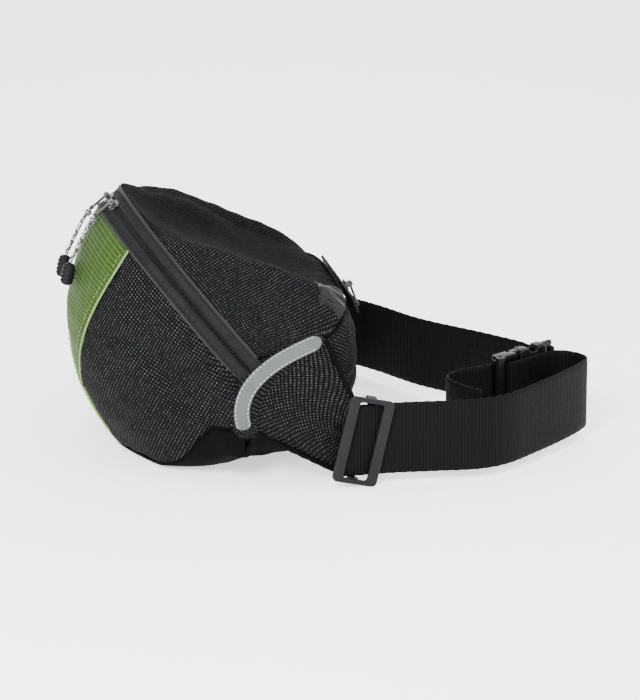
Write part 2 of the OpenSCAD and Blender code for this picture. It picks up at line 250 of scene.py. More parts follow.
# ---------- the bag's surfaces, as in the CAD model ----------
ZIP_R, ZIP_TILT, ZIP_END = 101.0, 51.3, 95.0
ZIP_DOWN = np.array([cosd(ZIP_TILT), 0, -sind(ZIP_TILT)])
ZIP_AXIS = np.array([sind(ZIP_TILT), 0, cosd(ZIP_TILT)])
ZIP_CENTRE = np.array([-61.5, 0, 166.5]) + ZIP_R * ZIP_DOWN
TAPE_HALF = 9.0
FRONT_LOW, BACK_LOW, BACK_HIGH = (-60, 0, 2), (80, 0, 9), (83, 0, 110)
WING_LOW, WING_MID, WING_HIGH = np.array([[8, -95, 38], [14, -99, 72], [62, -85, 92]], float)
TIP_LOW, TIP_HIGH = np.array([[60, -104.5, 11], [74, -110, 61]], float)


def share(a):
    return (1 - cosd(a)) / (1 - cosd(ZIP_END))


def seam(mid, end, a, px, pz):
    s = share(np.abs(a))
    return np.stack([mid[0] + (end[0] - mid[0]) * s ** px, end[1] * sind(a) / sind(ZIP_END),
                     mid[2] + (end[2] - mid[2]) * s ** pz], -1)


def zip_at(a, r=ZIP_R, lift=0.0):
    a, r, lift = (np.asarray(x, float)[..., None] for x in (a, r, lift))
    return (ZIP_CENTRE - r * cosd(a) * ZIP_DOWN + lift * ZIP_AXIS
            - r * sind(a) * np.array([0, 1.0, 0]))


def low_seam(a):
    p = seam(FRONT_LOW, WING_LOW, a, 0.65, 1)
    c = np.clip((share(a) - 0.12) / 0.5, 0, 1)
    p[..., 2] = FRONT_LOW[2] + (WING_LOW[2] - FRONT_LOW[2]) * c * c * (3 - 2 * c)
    return p


def back_low_seam(a):
    return seam(BACK_LOW, WING_LOW + np.array([6, 1, 0]), a, 1.2, 1.2)


def back_high_seam(a):
    return seam(BACK_HIGH, WING_HIGH, a, 1.4, 1.0)


def mix(p, q, u):
    return p + (q - p) * np.asarray(u)[..., None]


def swell(a):
    return 28 - 20 * share(a) - 12 * sind(1.5 * a) ** 2


def front_at(u, a):
    out = np.stack([-cosd(a), -sind(a), 0 * a], -1)
    return mix(zip_at(a, ZIP_R, -TAPE_HALF), low_seam(a), u) + (
        swell(a) * 4 * u * (1 - u))[..., None] * out


def bottom_at(u, a):
    p = mix(low_seam(a), back_low_seam(a), u)
    edge = np.abs(2 * u - 1) ** 3
    lifted = np.minimum(1, (share(a) / 0.27) ** 0.7) * np.minimum(1, 2 * u)
    p[..., 2] = np.maximum(0, p[..., 2] * (edge + (1 - edge) * lifted) - 1)
    return p


def lid_at(u, a):
    rise = 9 * sind(2 * a) ** 2 - 5 * np.maximum(0, cosd(a)) ** 6
    p = mix(zip_at(a, ZIP_R, TAPE_HALF), back_high_seam(a), u)
    p[..., 2] += rise * (1 - (2 * u - 1) ** 4)
    return p


def back_at(u, a):
    p = mix(back_high_seam(a), back_low_seam(a), u)
    p[..., 0] += 4 * u * (1 - u) * (14 - 8 * share(a))
    return p


def root_at(s):
    s = np.asarray(s, float)[..., None]
    c = 2 * WING_MID - (WING_LOW + WING_HIGH) / 2
    return (1 - s) ** 2 * WING_LOW + 2 * s * (1 - s) * c + s * s * WING_HIGH


def wing_at(u, s):
    return mix(root_at(s), mix(TIP_LOW, TIP_HIGH, s), u)


def ripple(u, s, seed, waves=7):
    """Soft uneven folds, about -1 to 1, from a few fixed waves."""
    r = np.random.default_rng(seed)
    out = 0 * u
    for _ in range(waves):
        fu, fs = r.normal(0, 4.5, 2)
        out = out + np.sin(TURN * (fu * u + fs * s / 180) + r.uniform(0, 6.28))
    return out / math.sqrt(waves) / 1.4


MIRROR = np.array([1, -1, 1])


# ---------- materials ----------
class Nodes:
    """A material's nodes, made with short calls."""

    def __init__(self, name, rough=0.6, metallic=0.0, sheen=0.0, coat=0.0, specular=0.5):
        self.mat = bpy.data.materials.new(name)
        self.mat.use_nodes = True
        self.tree = self.mat.node_tree
        self.tree.nodes.clear()
        self.out = self.new("OutputMaterial")
        self.bsdf = self.new("BsdfPrincipled")
        self.tree.links.new(self.bsdf.outputs[0], self.out.inputs[0])
        for key, value in (("Roughness", rough), ("Metallic", metallic), ("Sheen Weight", sheen),
                           ("Coat Weight", coat), ("Specular IOR Level", specular)):
            self.bsdf.inputs[key].default_value = value
        if sheen:
            self.bsdf.inputs["Sheen Roughness"].default_value = 0.45
            self.bsdf.inputs["Sheen Tint"].default_value = (0.8, 0.8, 0.8, 1)

    def new(self, kind):
        return self.tree.nodes.new("ShaderNode" + kind)

    def _set(self, socket, value):
        if isinstance(value, bpy.types.NodeSocket):
            self.tree.links.new(value, socket)
        elif isinstance(value, (tuple, list)) and len(value) == 3 and socket.type == "RGBA":
            socket.default_value = (*value, 1)
        else:
            socket.default_value = value

    def math(self, op, a, b=0.0, c=0.0):
        n = self.new("Math")
        n.operation = op
        for k, v in enumerate((a, b, c)):
            self._set(n.inputs[k], v)
        return n.outputs[0]

    def times(self, a, b):
        return self.math("MULTIPLY", a, b)

    def plus(self, a, b):
        return self.math("ADD", a, b)

    def place(self):
        return self.new("TexCoord").outputs["Object"]

    def uv(self):
        n = self.new("UVMap")
        n.uv_map = "weave"
        s = self.new("SeparateXYZ")
        self.tree.links.new(n.outputs[0], s.inputs[0])
        return s.outputs[0], s.outputs[1], n.outputs[0]

    def noise(self, scale, vector=None, detail=2.0, rough=0.5):
        n = self.new("TexNoise")
        self._set(n.inputs["Vector"], vector if vector is not None else self.place())
        n.inputs["Scale"].default_value = scale
        n.inputs["Detail"].default_value = detail
        n.inputs["Roughness"].default_value = rough
        return n.outputs["Fac"]

    def voronoi(self, scale, vector):
        n = self.new("TexVoronoi")
        self._set(n.inputs["Vector"], vector)
        n.inputs["Scale"].default_value = scale
        return n.outputs

    def cell_picks(self, scale, vector):
        """A value of its own for each cell, 0 to 1."""
        n = self.new("SeparateColor")
        self.tree.links.new(self.voronoi(scale, vector)["Color"], n.inputs[0])
        return n.outputs[0]

    def range(self, x, a, b, lo=0.0, hi=1.0):
        n = self.new("MapRange")
        for k, v in enumerate((x, a, b, lo, hi)):
            self._set(n.inputs[k], v)
        return n.outputs[0]

    def mix(self, f, a, b):
        n = self.new("Mix")
        n.data_type = "RGBA"
        self._set(n.inputs["Factor"], f)
        self._set(n.inputs["A"], a)
        self._set(n.inputs["B"], b)
        return n.outputs["Result"]

    def stretch(self, vector, x, y):
        n = self.new("Mapping")
        self._set(n.inputs[0], vector)
        n.inputs["Scale"].default_value = (x, y, 1.0)
        return n.outputs[0]

    def rows(self, x, per_cm):
        """0 to 1 and back, per_cm times in a centimetre."""
        s = self.math("SINE", self.times(x, per_cm * TURN))
        return self.math("MULTIPLY_ADD", s, 0.5, 0.5)

    def edges(self, amount=1.0):
        """1 along convex edges, where a lacquer rubs bare and where a moulding is made paler."""
        g = self.new("NewGeometry")
        return self.range(g.outputs["Pointiness"], 0.52, 0.6, 0.0, amount)

    def done(self, color, bump=None, height=0.0002, rough=None, strength=0.6):
        self._set(self.bsdf.inputs["Base Color"], color)
        if rough is not None:
            self._set(self.bsdf.inputs["Roughness"], rough)
        if bump is not None:
            n = self.new("Bump")
            n.inputs["Strength"].default_value = strength
            n.inputs["Distance"].default_value = height
            self._set(n.inputs["Height"], bump)
            self.tree.links.new(n.outputs[0], self.bsdf.inputs["Normal"])
        return self.mat


def ripstop_green():
    n = Nodes("ripstop_green", rough=0.7, sheen=0.01, specular=0.06)
    u, v, _ = n.uv()
    ribs = n.rows(u, 3.2)
    warp = n.rows(v, 5.0)
    cord_v = n.range(n.rows(v, 0.9), 0.93, 1.0)
    cloud = n.noise(22)
    fine = n.noise(900, detail=1)
    shade = n.mix(n.times(ribs, 0.9), (0.010, 0.026, 0.004), (0.044, 0.082, 0.015))
    shade = n.mix(n.times(warp, 0.18), shade, (0.0155, 0.0341, 0.005))
    shade = n.mix(n.times(cord_v, 0.35), shade, (0.055, 0.092, 0.025))
    shade = n.mix(n.range(cloud, 0.35, 0.7, 0.0, 0.3), shade, (0.024, 0.048, 0.010))
    bump = n.plus(ribs, n.plus(n.times(cord_v, 0.5), n.times(fine, 0.3)))
    return n.done(shade, bump, 0.0003, n.range(fine, 0, 1, 0.48, 0.68))


def fleck_mesh(name="fleck_mesh", shaded_top_fleck_share=1.0):
    """Knitted mesh with pale flecks. The last argument is the share of them left on the flat middle of the
    lid, where the base is darker too: painted shade for the lid's up-facing top.
    """
    n = Nodes(name, rough=0.8, specular=0.02)
    u, v, uv = n.uv()
    # Diagonal threads: holes where both are low, so every other row is half a step along
    a2 = n.rows(n.plus(u, v), 3.36)
    b2 = n.rows(n.math("SUBTRACT", u, v), 3.36)
    knit = n.times(a2, b2)
    holes = n.range(knit, 0.02, 0.3, 1.0, 0.0)
    courses = n.rows(v, 8.4)
    noise = n.noise(9.5, uv, detail=1, rough=0.6)
    fleck = n.times(n.range(n.cell_picks(9.0, uv), 0.25, 0.85), n.range(knit, 0.35, 0.85))
    cloud = n.noise(18)
    base = n.mix(n.times(courses, 0.5), (0.0075, 0.0075, 0.008), (0.020, 0.020, 0.021))
    # Painted shade: the lid's flat top gets fewer flecks and a darker base than its sides.
    if shaded_top_fleck_share < 1:
        side = n.range(n.math("ABSOLUTE", v), 5.2, 6.6)
        fleck = n.times(fleck, n.math("MULTIPLY_ADD", side, 1 - shaded_top_fleck_share, shaded_top_fleck_share))
        base = n.mix(side, (0.004, 0.004, 0.0043), base)
    base = n.mix(n.times(fleck, 0.8), base, (0.088, 0.088, 0.091))
    base = n.mix(n.times(holes, 0.9), base, (0.0004, 0.0004, 0.0004))
    base = n.mix(n.range(cloud, 0.3, 0.75, 0.0, 0.35), base, (0.0038, 0.0038, 0.004))
    bump = n.plus(knit, n.times(fleck, 0.5))
    return n.done(base, bump, 0.0006, n.range(noise, 0, 1, 0.55, 0.85), 0.8)


def plain_fabric():
    n = Nodes("plain_fabric", rough=0.85, specular=0.02)
    u, v, _ = n.uv()
    weave = n.times(n.rows(u, 12), n.rows(v, 12))
    cloud = n.noise(30, detail=3)
    base = n.mix(weave, (0.0014, 0.0014, 0.0016), (0.0045, 0.0045, 0.0049))
    base = n.mix(n.range(cloud, 0.3, 0.7, 0, 0.4), base, (0.0035, 0.0035, 0.0037))
    return n.done(base, n.plus(weave, n.times(cloud, 0.6)), 0.0003,
                  n.range(cloud, 0, 1, 0.6, 0.88))


def reflective():
    n = Nodes("reflective_tape", specular=0.12)
    grain = n.noise(1500, detail=1)
    cloud = n.noise(40)
    base = n.mix(n.range(cloud, 0.3, 0.7), (0.058, 0.063, 0.066), (0.080, 0.086, 0.089))
    base = n.mix(n.times(grain, 0.3), base, (0.105, 0.11, 0.113))
    return n.done(base, n.plus(grain, n.noise(120)), 0.00015, n.range(grain, 0, 1, 0.3, 0.5))


def coated_tape(name="zipper_tape", rough=0.5, shine=0.03):
    n = Nodes(name, rough=rough, specular=shine)
    cloud = n.noise(60, detail=3)
    fine = n.noise(700, detail=1)
    base = n.mix(cloud, (0.005, 0.005, 0.0055), (0.014, 0.014, 0.015))
    return n.done(base, n.plus(cloud, n.times(fine, 0.35)), 0.00025,
                  n.range(cloud, 0.2, 0.8, rough - 0.08, rough + 0.13))


def thread(name, dark, pale):
    n = Nodes(name, specular=0.06)
    fine = n.noise(1800, detail=1)
    return n.done(n.mix(fine, dark, pale), fine, 0.0001)


def webbing():
    n = Nodes("webbing", specular=0.04)
    u, v, uv = n.uv()
    ribs = n.rows(u, 4.4)
    ends = n.rows(v, 9.0)
    fine = n.noise(1.0, n.stretch(uv, 22, 60), detail=1)
    cloud = n.noise(16, detail=2)
    base = n.mix(ribs, (0.001, 0.001, 0.0011), (0.0038, 0.0038, 0.0042))
    base = n.mix(n.times(ends, 0.35), base, (0.0019, 0.0019, 0.0021))
    base = n.mix(n.range(fine, 0.45, 0.8, 0, 0.35), base, (0.0064, 0.0064, 0.007))
    base = n.mix(n.range(cloud, 0.4, 0.75, 0, 0.3), base, (0.0042, 0.0042, 0.0045))
    bump = n.plus(n.times(ends, 0.5), n.times(fine, 0.8))
    return n.done(base, bump, 0.00022, n.range(fine, 0, 1, 0.42, 0.62))


def moulded(name, dark, pale, rough, coat=0.0):
    n = Nodes(name, rough=rough, coat=coat, specular=0.07)
    grain = n.noise(900, detail=2)
    flow = n.noise(45, detail=3)
    base = n.mix(flow, dark, pale)
    base = n.mix(n.edges(0.5), base, tuple(min(1, 2.5 * c + 0.004) for c in pale))
    return n.done(base, n.plus(grain, n.times(flow, 0.6)), 0.00008,
                  n.range(flow, 0.25, 0.75, rough - 0.08, rough + 0.12), 0.5)


def lacquered():
    n = Nodes("slider_metal", rough=0.3, metallic=0.6, coat=0.3)
    wear = n.times(n.edges(1.0), n.range(n.noise(300), 0.35, 0.6))
    base = n.mix(n.noise(80), (0.006, 0.006, 0.0065), (0.018, 0.018, 0.019))
    base = n.mix(wear, base, (0.12, 0.12, 0.125))
    return n.done(base, n.noise(500), 0.00006, n.range(n.noise(200), 0, 1, 0.22, 0.42))


def braid(name, dark, pale, share_pale, per_cm=7.0):
    n = Nodes(name, rough=0.65, sheen=0.3)
    u, v, uv = n.uv()
    along, around = n.times(u, per_cm), n.times(v, 4.0)
    plait = n.math("MAXIMUM", n.rows(n.plus(along, around), 1.0),
                   n.rows(n.math("SUBTRACT", along, around), 1.0))
    picks = n.cell_picks(1.0, n.stretch(uv, per_cm * 1.2, 8.0))
    fleck = n.range(picks, 1.0 - share_pale, 1.05 - share_pale)
    base = n.mix(fleck, dark, pale)
    # Painted shade: the grooves between the strands are darkened.
    base = n.mix(n.range(plait, 0.55, 1.0, 0.65, 0.0), base, tuple(c * 0.25 for c in dark))
    return n.done(base, plait, 0.0004)


def foam():
    n = Nodes("foam", rough=0.9)
    cells = n.voronoi(900, n.place())["Distance"]
    return n.done(n.mix(n.noise(40), (0.75, 0.28, 0.05), (0.85, 0.40, 0.10)), cells, 0.0003)


MATS = {
    "ripstop_green": ripstop_green(),
    "fleck_mesh": fleck_mesh(),
    # The lid's mesh has painted shade: fewer flecks and a darker base on its flat top.
    "lid_mesh": fleck_mesh("lid_mesh", shaded_top_fleck_share=0.3),
    "plain_fabric": plain_fabric(),
    "reflective_tape": reflective(),
    "zipper_tape": coated_tape(),
    "coated": coated_tape("coated", 0.3, 0.08),
    "zipper_coil": moulded("zipper_coil", (0.006, 0.006, 0.006), (0.02, 0.02, 0.02), 0.4),
    "slider_metal": lacquered(),
    "fleck_cord": braid("fleck_cord", (0.012, 0.012, 0.013), (0.62, 0.62, 0.62), 0.42),
    "grip_rubber": moulded("grip_rubber", (0.004, 0.004, 0.0045), (0.009, 0.009, 0.01), 0.45),
    "webbing": webbing(),
    "buckle_plastic": moulded("buckle_plastic", (0.002, 0.002, 0.0022), (0.005, 0.005, 0.0055), 0.2, 0.12),
    "glide_plastic": moulded("glide_plastic", (0.005, 0.005, 0.0055), (0.010, 0.010, 0.011), 0.34),
    "rope": braid("rope", (0.62, 0.40, 0.03), (0.75, 0.12, 0.03), 0.2, per_cm=3.0),
    "foam": foam(),
    "black_thread": thread("black_thread", (0.004, 0.004, 0.004), (0.03, 0.03, 0.03)),
    "grey_thread": thread("grey_thread", (0.34, 0.35, 0.36), (0.5, 0.51, 0.52)),
    "green_thread": thread("green_thread", (0.09, 0.16, 0.035), (0.18, 0.27, 0.09)),
}


def dress(obj, material, body="root", node=None):
    """Gives a piece its material and its body, and hides the CAD node that it stands for."""
    obj.data.materials.clear()
    obj.data.materials.append(MATS[material])
    if body:
        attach(obj, body)
    if node:
        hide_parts(node)
    return obj


# ---------- helpers for pieces ----------
def smooth01(x):
    x = np.clip(x, 0, 1)
    return x * x * (3 - 2 * x)


def cushion(p, depth, reach):
    """How far a panel stands out from its seams: 0 at its edges and depth well inside them."""
    u, v = arc_mm(p, 0), arc_mm(p, 1)
    d = np.minimum(np.minimum(u, u[-1:] - u), np.minimum(v, v[:, -1:] - v))
    return depth * (1 - np.exp(-d / reach)), d, u, v


def across_all(angle):
    """The two edges of a panel that runs from -angle to angle all the way down."""
    return lambda u: -angle + 0 * u, lambda u: angle + 0 * u


def loft(fn, lo, hi, nu, ns, u0=0.0, u1=1.0):
    """Grid of a surface between two edges that may move with u."""
    u = np.linspace(u0, u1, nu)[:, None] + np.zeros((1, ns))
    t = np.linspace(0, 1, ns)[None, :] + np.zeros((nu, 1))
    a = lo(u) + (hi(u) - lo(u)) * t
    return fn(u, a), u, a


def sided(mirrored, outer, inner):
    """The two grids of a shell made for the near side, or the same swapped to the far side."""
    if mirrored:
        return outer * MIRROR, inner * MIRROR
    return outer[:, ::-1], inner[:, ::-1]


def flat_weave(p, tilt=0.0):
    """Weave coordinates on the panel's mean plane, so that its rows stay straight."""
    q = p.reshape(-1, 3) - p.reshape(-1, 3).mean(0)
    normal = np.linalg.svd(q, full_matrices=False)[2][2]
    across = unit(np.cross(normal, [0, 0, 1.0]))
    along = np.cross(normal, across)
    uv = np.stack([q @ along, q @ across], 1) / 10
    turn = np.array([[cosd(tilt), sind(tilt)], [-sind(tilt), cosd(tilt)]])
    return (uv @ turn).reshape(p.shape[:2] + (2,))


PANEL_T = 1.4                   # mm, each panel with its lining


def panel_piece(name, node, p, out, relief, material, mirrored=False, weave=None):
    """A sewn panel: surface p moved out by relief, with its own thickness behind it."""
    n = grid_normals(p) * out
    outer = p + n * relief[..., None]
    inner = outer - grid_normals(outer) * out * PANEL_T
    if mirrored:
        outer, inner = outer * MIRROR, inner * MIRROR
    turned = (out > 0) != mirrored
    if turned:
        outer, inner = outer[:, ::-1], inner[:, ::-1]
    obj = dress(shell(name, outer, inner), material, node=node)
    if weave is not None:
        weave = weave[:, ::-1] if turned else weave
        lay_weave(obj.data, np.stack([weave, weave]))


def seam_line(name, line, r, material):
    dress(tube(name, respaced(line, 0.9)[0], r, 8), material)


# ---------- bag panels ----------
def green_edge(u):
    return np.maximum(3, 31 - 38.5 * u)


def puckers(d, along, seed, size=0.35, pitch=7.0, reach=7.0):
    """Small gathers square to a seam that die away from it."""
    r = np.random.default_rng(seed)
    out = 0 * d
    for k in range(4):
        out = out + np.sin(TURN * along / (pitch * (0.7 + 0.25 * k)) + r.uniform(0, 6.28)
                           + 1.5 * np.sin(along / (17 + 5 * k)))
    return size * out / 2 * np.exp(-d / reach)


def build_front():
    p, u, a = loft(front_at, lambda u: -green_edge(u), green_edge, 90, 70)
    raised, d, along, _ = cushion(p, 1.1, 4.0)
    relief = (raised - 0.5 + 0.7 * ripple(u, a, 11) + puckers(d, along, 12, 0.3)
              - 1.6 * bell(u, 0.62, 0.16) * bell(a, 3, 11) - 1.2 * bell(u, 0.30, 0.07) * bell(a, -6, 16))
    panel_piece("front", "front_panel", p, 1, relief, "ripstop_green")


def side_dent(p):
    centre = front_at(np.array(0.47), np.array(50.0))
    e = unit(front_at(np.array(0.66), np.array(60.0)) - front_at(np.array(0.36), np.array(40.0)))
    q = p - centre
    along = q @ e
    far = np.sqrt(np.maximum(0, (q * q).sum(-1) - along ** 2))
    return 5.5 * np.exp(-(along / 19) ** 2 - (far / 8.5) ** 2) + 2.0 * np.exp(
        -((along - 16) / 20) ** 2 - ((far - 9) / 6) ** 2)


def build_side(name, node, mirrored, seed):
    p, u, a = loft(front_at, green_edge, lambda u: 95 + 0 * u, 110, 120)
    raised, d, along, across = cushion(p, 1.4, 5.0)
    dent = side_dent(p) * (0.55 if mirrored else 1.0)
    relief = (raised - 0.5 + 0.9 * ripple(u, a, seed) + puckers(d, across + along, seed + 1, 0.45)
              - dent - 1.5 * bell(u, 0.72, 0.12) * bell(a, 66, 15))
    panel_piece(name, node, p, 1, relief, "fleck_mesh", mirrored, weave=flat_weave(p, 12))


def build_bottom():
    p, u, a = loft(bottom_at, *across_all(93.5), 60, 150)
    raised, d, _, across = cushion(p, 0.5, 3.0)
    floor = np.clip((p[..., 2] - 0.3) / 6, 0, 1)
    relief = floor * (raised + 0.5 * ripple(u, a, 31) + puckers(d, across, 32, 0.3))
    panel_piece("bottom", "bottom_panel", p, 1, relief, "plain_fabric")


def lid_hollow(p, u):
    """The lid sags between two ridges, one over each shoulder."""
    sides = np.abs(p[..., 1])
    inside = smooth01((60 - sides) / 13) * smooth01(u / 0.16) * smooth01((1 - u) / 0.2)
    ridge = bell(sides, 63, 6) * smooth01(u / 0.14) * smooth01((1 - u) / 0.15)
    far_crest = 7 * bell(p[..., 1], 42, 20) * bell(u, 0.28, 0.26)
    return far_crest + 2.4 * ridge - 4.5 * inside


def build_lid():
    p, u, a = loft(lid_at, *across_all(ZIP_END), 110, 190)
    raised, d, _, across = cushion(p, 1.2, 4.5)
    relief = (raised - 0.5 + lid_hollow(p, u) + 0.8 * ripple(u, a, 41, 9)
              + puckers(d, across, 42, 0.5, 8.0, 9.0))
    v = arc_mm(p[..., 1:], 1)
    v = v - v[:, 94:95]
    weave = np.stack([(p[..., 0] - 0.35 * p[..., 2]) / 9.4, v / 10], -1)
    panel_piece("lid", "lid_panel", p, -1, relief, "lid_mesh", weave=weave)


def build_back():
    p, u, a = loft(back_at, *across_all(ZIP_END), 80, 130)
    raised, d, _, across = cushion(p, 1.1, 4.0)
    relief = raised - 0.5 + 0.7 * ripple(u, a, 51) + puckers(d, across, 52, 0.35)
    panel_piece("back", "back_panel", p, -1, relief, "fleck_mesh")


build_front()
build_side("side_near", "side_panel_near", False, 21)
build_side("side_far", "side_panel_far", True, 24)
build_bottom()
build_lid()
build_back()


def build_gather():
    """Coated tape gathered where the rear zipper ends at the lid's corner."""
    top, first, wide = 0.80, 24, 38
    p, u, a = loft(lid_at, lambda u: first + 6 * u, lambda u: 60 + 4 * u, 70, 90, top, 0.995)
    n = -grid_normals(p)
    t = (a - first) / wide
    fade = smooth01((u - top) / 0.05) * smooth01(t / 0.2) * smooth01((1.05 - t) / 0.2)
    folds = np.sin(24 * t + 6 * np.sin(9 * u)) + 0.6 * np.sin(41 * t - 30 * u) + 0.5 * np.sin(60 * u + 9 * t)
    base = lid_hollow(p, u)
    outer = p + n * (base + 3.0 * fade + 0.7 * folds * fade - 0.9)[..., None]
    inner = p + n * (base - 1.8)[..., None]
    dress(shell("rear_gather", outer, inner), "coated")


build_gather()

# Piping and stitching along the seams
ANG = np.linspace(-ZIP_END, ZIP_END, 260)
for where, seam_at, off, r in (("low", low_seam, (0, 0, 0.4), 0.9),
                               ("back_high", back_high_seam, (0.3, 0, 0.3), 1.0),
                               ("back_low", back_low_seam, (0.2, 0, 0.4), 0.9)):
    seam_line("pipe_" + where, seam_at(ANG) + off, r, "plain_fabric")
for sign, where in ((1, "near"), (-1, "far")):
    uu = np.linspace(0, 1, 160)
    edge = front_at(uu, green_edge(uu))
    out = np.stack([-cosd(green_edge(uu)), -sind(green_edge(uu)), 0 * uu], -1)
    line = edge + 0.45 * out
    beside = front_at(uu, green_edge(uu) - 2.2) + 0.75 * out
    if sign < 0:
        line, beside, out = line * MIRROR, beside * MIRROR, out * MIRROR
    seam_line("pipe_green_" + where, line, 0.75, "green_thread")
    dress(stitches("stitch_green_" + where, beside[6:-3], out[6:-3]), "green_thread")


# ---------- zipper band ----------
TAPE_END = ZIP_END + 5          # tucked in under the reflective strips


def build_tape(name, low, high, node):
    """A tape with a lip by the coil and a welt at the sewn edge."""
    a = np.linspace(-TAPE_END, TAPE_END, 400)[:, None]
    t = np.linspace(0, 1, 24)[None, :]
    lift = low + (high - low) * t
    inner_t = t if high < 0 else 1 - t
    height = (0.55 * bell(inner_t, 0.88, 0.07) + 0.5 * bell(inner_t, 0.12, 0.10)
              - 0.35 * bell(inner_t, 0.30, 0.05))
    wrinkle = 0.16 * np.sin(a * 1.9 + 3 * np.sin(a / 9)) * np.sin(np.pi * t)
    aa, ll = np.broadcast_arrays(a, lift)
    outer = zip_at(aa, ZIP_R + height + wrinkle, ll)
    inner = zip_at(aa, ZIP_R - 1.1 + 0 * ll, ll)
    dress(shell(name, outer, inner), "zipper_tape", node=node)


build_tape("tape_lower", -TAPE_HALF, -1.7, "zipper_tape_lower")
build_tape("tape_upper", 1.7, TAPE_HALF, "zipper_tape_upper")


def build_coil():
    rows = []
    turns = 240
    k = np.arange(turns * 8 + 1) / 8
    a = -TAPE_END + 2 * TAPE_END * k / turns
    for s in (-1, 1):
        lift = s * (1.0 + 0.85 * np.cos(TURN * k))
        r = ZIP_R - 0.1 + 0.55 * np.sin(TURN * k)
        rows.append(tube("part", zip_at(a, r, lift), 0.27, 5))
    dress(joined("coil", rows), "zipper_coil", node="zipper_coil")


build_coil()
BA, BL = np.meshgrid(np.linspace(-ZIP_END, ZIP_END, 160), np.linspace(-4, 4, 5), indexing="ij")
dress(shell("zipper_backing", zip_at(BA, ZIP_R - 1.3, BL), zip_at(BA, ZIP_R - 2.2, BL)), "plain_fabric")
ZA = np.linspace(-94.5, 94.5, 700)
for lift, where in ((-TAPE_HALF - 0.2, "low"), (TAPE_HALF + 0.2, "high")):
    seam_line("pipe_zip_" + where, zip_at(ZA, ZIP_R + 0.25, lift), 0.95, "black_thread")
for lift, where in ((-6.6, "low"), (6.6, "high")):
    radial = unit(zip_at(ZA, ZIP_R + 1, lift) - zip_at(ZA, ZIP_R, lift))
    dress(stitches("stitch_zip_" + where, zip_at(ZA, ZIP_R + 0.1, lift), radial), "black_thread")


# ---------- hard parts from bevelled prisms ----------
def rounded_rect(w, h, r, n=5):
    pts = []
    for k, (sx, sy) in enumerate(((1, 1), (-1, 1), (-1, -1), (1, -1))):
        for t in np.linspace(0, 90, n):
            b = t + 90 * k
            pts.append([sx * (w / 2 - r) + r * cosd(b), sy * (h / 2 - r) + r * sind(b)])
    return np.array(pts)


def inset(loop, by):
    t = unit(np.roll(loop, -1, 0) - np.roll(loop, 1, 0))
    return loop + by * np.stack([-t[:, 1], t[:, 0]], 1)


def bevel_rings(loop, turns, z, bevel, rise=1, side=1):
    """Outlines round a rounded edge at height z, with their heights."""
    return [(inset(loop, side * bevel * (1 - cosd(t))), z + rise * bevel * (1 - sind(t))) for t in turns]


def prism(loop, z0, z1, bevel, put):
    """An outline (counter-clockwise) raised from z0 to z1 with rounded edges; put maps to the row."""
    turns = (90, 60, 30, 0)
    rings = bevel_rings(loop, turns, z0, bevel) + bevel_rings(loop, turns[::-1], z1, bevel, -1)
    n = len(loop)
    p = np.array([np.hstack([l, np.full((n, 1), z)]) for l, z in rings])
    faces = quads(len(rings), n, wrap_v=True)
    faces += [list(range(n))[::-1], [(len(rings) - 1) * n + k for k in range(n)]]
    return link("part", put(p.reshape(-1, 3)), faces, p.reshape(-1, 3)[:, :2] / 10)


def ring_prism(outer, inner, z0, z1, bevel, put):
    """As prism, with a hole of the same number of points."""
    turns = (90, 45, 0)
    rings = bevel_rings(outer, turns, z0, bevel) + bevel_rings(outer, turns[::-1], z1, bevel, -1)
    rings += bevel_rings(inner, turns, z1, bevel, -1, -1) + bevel_rings(inner, turns[::-1], z0, bevel, 1, -1)
    n = len(outer)
    p = np.array([np.hstack([l, np.full((n, 1), z)]) for l, z in rings + rings[:1]])
    return link("part", put(p.reshape(-1, 3)), quads(len(rings) + 1, n, wrap_v=True),
                p.reshape(-1, 3)[:, :2] / 10)


def box(x0, x1, y0, y1, z0, z1, put, bevel=0.5, corner=0.8):
    """A rounded block along local z."""
    w, h = x1 - x0, y1 - y0
    loop = rounded_rect(w, h, min(corner, w / 2.05, h / 2.05)) + [(x0 + x1) / 2, (y0 + y1) / 2]
    return prism(loop, z0, z1, min(bevel, w / 3, h / 3, (z1 - z0) / 2.1), put)


def rod(a, b, r, put, sides=20):
    """A round rod with softened ends from a to b in local axes."""
    a, b = np.asarray(a, float), np.asarray(b, float)
    d = np.linalg.norm(b - a)
    soft = min(0.5, r * 0.5, d / 4)
    at = np.array([0, 0.3 * soft, soft, d / 2, d - soft, d - 0.3 * soft, d]) / d
    radius = np.array([r - soft, r - 0.3 * soft, r, r, r, r - 0.3 * soft, r - soft])
    return tube("part", put(a + (b - a) * at[:, None]), radius, sides)


def frame_of(origin, x, y, z):
    m = np.stack([x, y, z])
    return lambda p: origin + np.asarray(p, float) @ m


def mouth_frame(a, r):
    x = unit(-cosd(a) * ZIP_DOWN - sind(a) * np.array([0, 1.0, 0]))
    y = unit(sind(a) * ZIP_DOWN - cosd(a) * np.array([0, 1.0, 0]))
    return frame_of(zip_at(np.array(a), np.array(r)), x, y, ZIP_AXIS)


# ---------- sliders and pull tabs ----------
SLIDER_ANGLE, PIN_LIFT, TAB_W = 5.0, 4.4, 3.0


